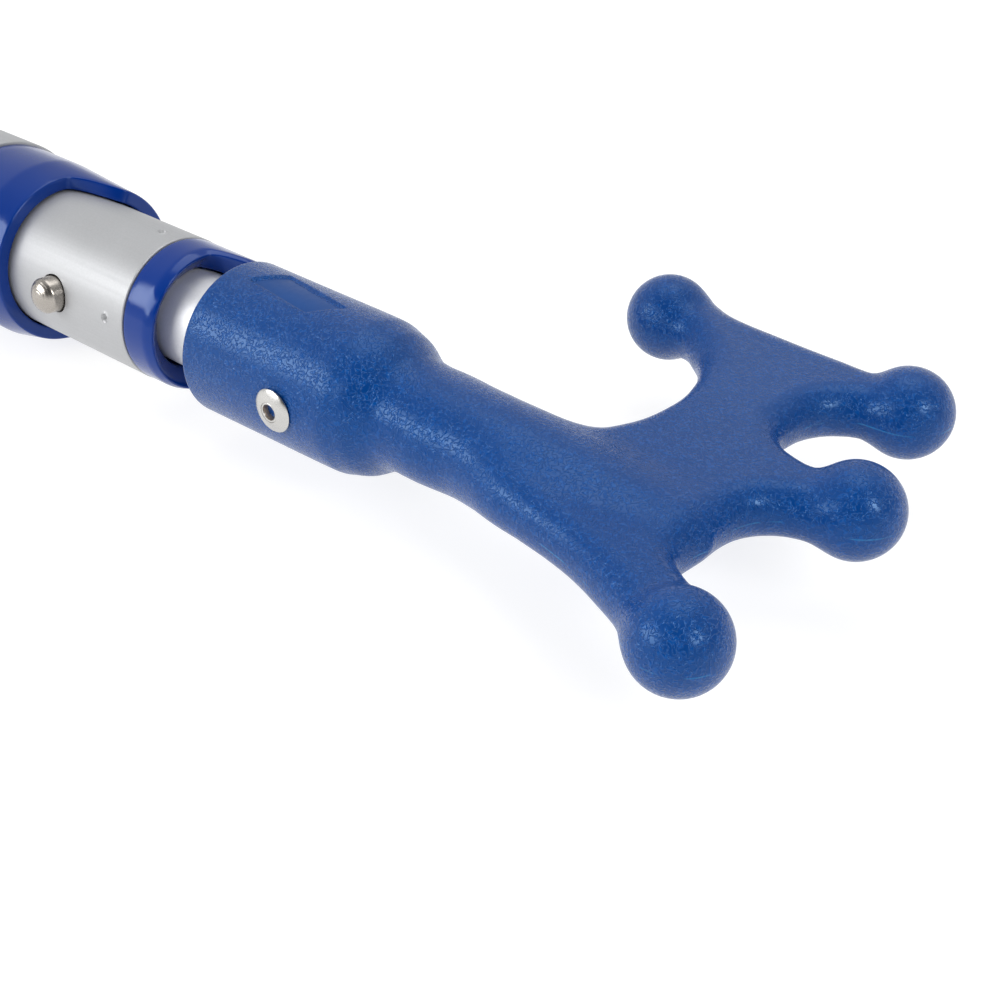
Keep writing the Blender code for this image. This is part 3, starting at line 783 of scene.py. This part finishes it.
def section(corners, steps=5):
    """A closed profile of corners (x, r, fillet, rings), with that many extra rings ahead of each corner."""
    out = []
    for x, r, fillet, rings in corners:
        if rings:
            out += rings_between(out[-1], (x, r), rings)
        out.append((x, r, fillet))
    return rounded_loop(out, steps)


def outer_section(front, taper_from, edge_r):
    """The large collar: front is its front edge's x, edge_r the radius there, taper_from where it narrows."""
    back, bore = start_x("outer_collar"), OUTER_R - OUTER_WALL - GAP
    rear, mouth = OUTER_END + GAP, MID_R + GAP + 0.05
    return section([(back, bore, 0.3, 0), (rear, bore, 0.0, 0), (rear, 18.55, 0.4, 0),
                    (taper_from, 18.5, 1.2, 3), (front, edge_r, 0.8, 4), (front, mouth, 0.45, 2),
                    (rear, mouth, 0.0, 0), (back, mouth, 0.3, 0)])


def mid_section(front):
    """The small collar, with its front edge at x = front."""
    back, bore = start_x("mid_collar"), MID_R - MID_WALL - GAP
    rear, mouth = MID_END + GAP, INNER_R + 0.5
    return section([(back, bore, 0.3, 0), (rear, bore, 0.0, 0), (rear, MID_R - 0.12, 0.35, 0),
                    (front - 1.9, MID_R - 0.18, 1.2, 3), (front, 13.45, 0.9, 0),
                    (front - 0.4, 12.7, 0.6, 0), (front - 2.9, mouth, 0.8, 0),
                    (rear, mouth, 0.0, 0), (back, mouth, 0.3, 0)], steps=7)


outer_collar = tongued_collar("outer_collar_moulding",
                              outer_section(FERRULE_X - 51.2, FERRULE_X - 57.8, 17.15),
                              outer_section(end_x("outer_collar"), FERRULE_X - 58.5, 17.25))
dress(outer_collar, GLOSS, "outer", "glossy_blue", "outer_collar")
mid_collar = tongued_collar("mid_collar_moulding", mid_section(FERRULE_X - 9.3),
                            mid_section(end_x("mid_collar")))
dress(mid_collar, GLOSS, "mid", "glossy_blue", "mid_collar")


# ---------------------------------------------------------------- lock buttons and rivets
DOME_DROP, DOME_SPREAD = 1.9, 1.06          # the nose falls this far to its edge, along part of an ellipse
GROOVES, GROOVE_DEPTH, GROOVE_WIDTH = (0.75, 1.45, 2.15, 2.85), 0.035, 0.11


def nose_fall(r):
    """How far (mm) a button's domed nose has fallen at radius r."""
    fall = 1 - math.sqrt(max(0.0, 1 - (r / (BUTTON_R * DOME_SPREAD)) ** 2))
    return DOME_DROP * fall / (1 - math.sqrt(1 - (1 / DOME_SPREAD) ** 2))


def lock_button(name, x, tube_r, proud, body, node, foot_r, foot_top):
    """A turned button: a domed, grooved nose on a shank with a wide foot inside the tube."""
    top = tube_r + proud
    dome = []
    for t in np.linspace(0, 1, 40):
        r = BUTTON_R * (1 - t)
        groove = sum(GROOVE_DEPTH * math.exp(-((r - c) / GROOVE_WIDTH) ** 2) for c in GROOVES)
        dome.append((top - nose_fall(r) - groove, r))
    edge = dome[0][0]
    profile = [(foot_r, 0), (foot_r, 4.0), (foot_r + 0.2, 4.3), (foot_top - 0.2, 4.3), (foot_top, 4.1),
               (foot_top, BUTTON_R), (edge - 0.25, BUTTON_R), (edge - 0.06, BUTTON_R - 0.03)] + dome[1:]
    profile[-1] = (profile[-1][0], 0.0)
    obj = solid_lathe(name, profile, 72, sharp_angle=30)
    stand_radially(obj, x, LOCK_ANGLE, 0)
    return dress(obj, STEEL, body, "turned_steel", node)


lock_button("front_button_turned", FRONT_LOCK_X, MID_R, 4.0, "front_button", "front_lock_button",
            INNER_R + 0.35, MID_R - MID_WALL - 1.0)
lock_button("rear_button_turned", REAR_LOCK_X, OUTER_R, 3.2, "rear_button", "rear_lock_button",
            MID_R + 0.35, OUTER_R - OUTER_WALL - 0.75)


def pop_rivet(name, x, angle, seat, depth, body, node):
    """A blind rivet: a domed flange with a rolled edge, and a hollow with the snapped pin down inside."""
    profile = [(-depth, 0), (-depth, 2.4), (0.02, 2.4), (0.02, RIVET_HEAD_R - 0.25)]
    profile += arc((0.27, RIVET_HEAD_R - 0.25), 0.25, 180, 90, 4)[1:]
    profile += [(0.42, RIVET_HEAD_R - 0.12), (0.62, 3.6), (0.86, 3.1), (1.05, 2.6), (1.16, 2.2), (1.2, 1.9)]
    profile += arc((1.0, 1.72), 0.2, 70, 0, 3)
    profile += [(1.12, 1.52), (0.9, 1.45), (-1.2, 1.4), (-1.25, 1.0), (-1.1, 0.5), (-1.05, 0)]
    obj = solid_lathe(name, profile, 72, sharp_angle=40)
    stand_radially(obj, x, angle, seat)
    dress(obj, RIVET, body, "rivet_metal", node)
    obj.data.materials.append(MANDREL)
    out = Vector((0, math.cos(angle), math.sin(angle)))
    for face in obj.data.polygons:
        centre = face.center / MM
        axial = centre.dot(out) - seat
        radial = (centre - Vector((x, 0, 0)) - out * centre.dot(out)).length
        in_hollow = radial < 1.47 and -1.3 < axial < 0.95
        if in_hollow:
            face.material_index = 1
    return obj


for side, angle in (("left", 0.0), ("right", math.pi)):
    pop_rivet(f"head_rivet_{side}_detail", RIVET_X, angle, SOCKET_R, 6.0, "inner", f"head_rivet_{side}")
    cap_surface = span("end_cap")[1][2] + 0.05
    pop_rivet(f"cap_rivet_{side}_detail", CAP_RIVET_X, angle, cap_surface, 4.0, "outer",
              f"end_cap_rivet_{side}")


# ---------------------------------------------------------------- grip and end cap
low, high = span("outer_grip")
grip_r = half_width("outer_grip")
END_ROUND = 2.6
RING_PITCH, RING_MARGIN, RING_DEPTH, RING_WIDTH = 12.0, 6.0, 0.55, 1.1
loop = [(low[0], OUTER_R + GAP), (low[0], grip_r - END_ROUND)]
loop += arc((low[0] + END_ROUND, grip_r - END_ROUND), END_ROUND, 180, 90, 8)[1:]
for x in np.arange(low[0] + 3.0, high[0] - 3.0, 0.5):
    along = x - low[0]
    phase = (along - RING_MARGIN) / RING_PITCH
    ring = RING_DEPTH * math.exp(-((phase - round(phase)) * RING_PITCH / RING_WIDTH) ** 2)
    ringed = RING_MARGIN < along < high[0] - low[0] - RING_MARGIN
    loop.append((x, grip_r - (ring if ringed else 0)))
loop += arc((high[0] - END_ROUND, grip_r - END_ROUND), END_ROUND, 90, 0, 8)
loop += [(high[0], OUTER_R + GAP)]
dress(closed_lathe("grip_sleeve", loop[::-1], 200), FOAM, "outer", "grip_foam", "outer_grip")

low, high = span("end_cap")
cap_r = half_width("end_cap")
cap = rounded_loop([
    (6.0, 0.01, 0), (6.0, OUTER_R + GAP, 0), (high[0], OUTER_R + GAP, 0.2), (high[0], cap_r, 0.7),
    (5.4, cap_r, 0.2), (5.0, cap_r - 0.5, 0.3), (4.2, cap_r - 0.5, 0.3), (3.8, cap_r, 0.2),
    (0.0, cap_r, 2.2), (0.0, 14.0, 0.3), (0.5, 13.5, 0.3), (0.5, 12.0, 0.3), (0.0, 11.5, 0.3),
    (0.0, 0.01, 0)])
dress(closed_lathe("end_cap_moulding", cap, 200), BLACK, "outer", "black_plastic", "end_cap")

# Hidden CAD parts keep their shape and get a material
SPRINGS = ("mid_front_spring", "mid_rear_spring", "inner_front_spring", "inner_rear_spring")
for material, nodes in ((BLACK, ("mid_tail_bush", "inner_tail_bush")), (SPRING, SPRINGS)):
    for node in nodes:
        NODES[node].data.materials.clear()
        NODES[node].data.materials.append(material)


# ---------------------------------------------------------------- floor, camera and light
# The pole lies on the floor at its grip's front end and at the outer tube's front end: (x, z)
REST_REAR, REST_FRONT = (end_x("outer_grip") - 3, -grip_r), (OUTER_END, -OUTER_R)
tilt = math.atan2(REST_FRONT[1] - REST_REAR[1], REST_FRONT[0] - REST_REAR[0])
bpy.ops.mesh.primitive_plane_add(size=80)
floor = bpy.context.object
floor.name = "floor"
floor.rotation_euler = (0, -tilt, 0)
floor.location = (REST_FRONT[0] * MM, 0, REST_FRONT[1] * MM - 0.0001)
PAPER_LOW, PAPER_HIGH = (0.28, 0.28, 0.28), (0.3, 0.3, 0.3)
ground = Nodes("floor_paper", PAPER_LOW, 0.9, Specular_IOR_Level=0.1, Emission_Color=(1, 1, 1, 1),
               Emission_Strength=0.82)
ground.colour(ground.mix(ground.noise(3, detail=2), PAPER_LOW, PAPER_HIGH))
floor.data.materials.append(ground.mat)


CAMERA_PLACE, CAMERA_TURN, CAMERA_LENS = (1.1052, -0.1775, 0.1458), (2.0556, 0.7522, -0.3899), 58.87


def camera():
    """Placed so that the head, nearest the lens, and the two collars behind it fill the view."""
    turn = Vector(CAMERA_TURN)
    rotation = Matrix.Rotation(turn.length, 3, turn.normalized())
    data = bpy.data.cameras.new("camera")
    data.sensor_width = 36
    data.lens = CAMERA_LENS
    data.clip_start = 0.01
    obj = bpy.data.objects.new("camera", data)
    bpy.context.scene.collection.objects.link(obj)
    flip = Matrix(((1, 0, 0), (0, -1, 0), (0, 0, -1)))
    obj.matrix_world = Matrix.Translation(CAMERA_PLACE) @ (flip @ rotation).transposed().to_4x4()
    bpy.context.scene.camera = obj


camera()


TARGET = (0.93, 0.0, 0.0)


def area_light(name, position, size, power):
    """A white softbox that faces the head; size is its width and height in metres, power is in watts."""
    data = bpy.data.lights.new(name, "AREA")
    data.shape = "RECTANGLE"
    data.size, data.size_y = size
    data.energy = power
    obj = bpy.data.objects.new(name, data)
    bpy.context.scene.collection.objects.link(obj)
    obj.location = position
    obj.rotation_euler = (Vector(TARGET) - Vector(position)).to_track_quat("-Z", "Y").to_euler()


area_light("left_softbox", (0.47, -0.69, 0.40), (0.7, 0.42), 5.6)
area_light("right_softbox", (1.65, -0.12, 0.54), (0.3, 0.3), 3.4)
area_light("top_softbox", (0.80, 0.30, 1.05), (0.8, 0.8), 3.6)

world = bpy.data.worlds.new("world")
bpy.context.scene.world = world
world.use_nodes = True
sky = Graph(world.node_tree)
direction = sky.add("ShaderNodeTexCoord").outputs["Generated"]
# The white backdrop is behind the pole, and the room in front of it is dim
BACKDROP_WAY = (-0.60, 0.75, 0.28)
facing = sky.add("ShaderNodeVectorMath", operation="DOT_PRODUCT")
facing.inputs[1].default_value = BACKDROP_WAY
sky.join(direction, facing.inputs[0])
backdrop = sky.remap(facing.outputs["Value"], -0.45, 0.6, 0.02, 0.75)
# A pale band all round, where the paper meets the room
height = sky.add("ShaderNodeSeparateXYZ")
sky.join(direction, height.inputs[0])
horizon = sky.remap(height.outputs["Z"], 0.10, 0.35, 0.85, 0.0)
background = world.node_tree.nodes["Background"]
sky.join(sky.math("MAXIMUM", backdrop, horizon), background.inputs["Strength"])
background.inputs["Color"].default_value = (0.98, 0.99, 1.0, 1)
bpy.context.scene.view_settings.view_transform = "Standard"

bpy.context.view_layer.update()
